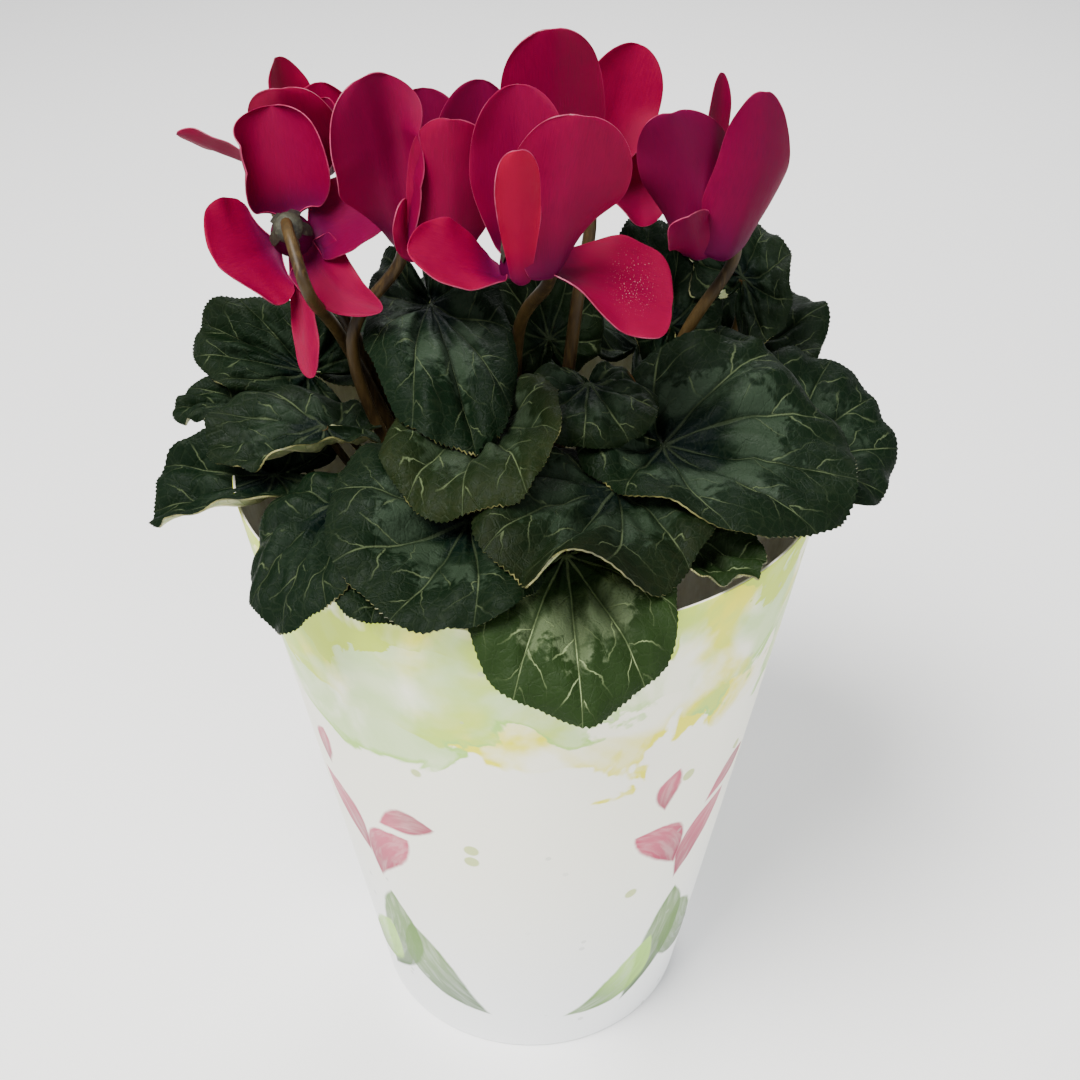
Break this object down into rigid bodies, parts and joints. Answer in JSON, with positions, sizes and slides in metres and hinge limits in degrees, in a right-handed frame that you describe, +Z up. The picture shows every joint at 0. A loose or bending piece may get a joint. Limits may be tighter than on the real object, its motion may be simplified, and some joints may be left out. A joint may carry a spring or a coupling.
{
  "type": "potted cyclamen",
  "caption": "House plant with heart-shaped marbled leaves and nodding magenta blooms, growing from a tuber in a nursery pot inside a tapered card sleeve.",
  "frame": {"origin": "centre of the sleeve's underside, where the object stands", "axes": "+Z up, along the sleeve's axis; -Y is the front, the side that the picture shows; +X is the picture's right"},
  "size_m": [0.223, 0.2079, 0.3419],
  "materials": {
    "sleeve_card": "smooth coated card, printed with soft washes",
    "pot_plastic": "matte moulded plastic",
    "soil": "crumbly peat",
    "tuber": "corky skin",
    "leaf": "satin leaf with grey-green marbling",
    "petal": "velvety petal",
    "stem": "satin, finely hairy"
  },
  "bodies": {
    "root": {"sleeve": "sleeve_card", "nursery_pot": "pot_plastic", "soil": "soil", "tuber": "tuber", "leaf_back_left": "leaf", "leaf_back_middle": "leaf", "leaf_back_right": "leaf", "leaf_left_dark": "leaf", "leaf_right_back_low": "leaf", "leaf_back_centre": "leaf", "leaf_behind_blooms": "leaf", "leaf_front_rim": "leaf", "leaf_left_boat": "leaf", "leaf_left_low": "leaf", "leaf_left_small": "leaf", "leaf_left_back": "leaf", "leaf_right_low": "leaf", "leaf_right_outer": "leaf", "leaf_right_tall": "leaf", "leaf_right_round": "leaf", "leaf_front_apron": "leaf", "leaf_right_rim": "leaf", "leaf_front_left": "leaf", "leaf_front_wavy": "leaf", "leaf_right_big": "leaf", "leaf_left_narrow": "leaf", "leaf_centre": "leaf", "leaf_curly": "leaf", "leaf_tall_centre": "leaf", "corolla_left": "petal", "corolla_left_behind": "petal", "corolla_middle_left": "petal", "corolla_front": "petal", "corolla_top": "petal", "corolla_right": "petal", "stem_left": "stem", "stem_left_behind": "stem", "stem_middle_left": "stem", "stem_front": "stem", "stem_top": "stem", "stem_right": "stem"}
  },
  "joints": []
}
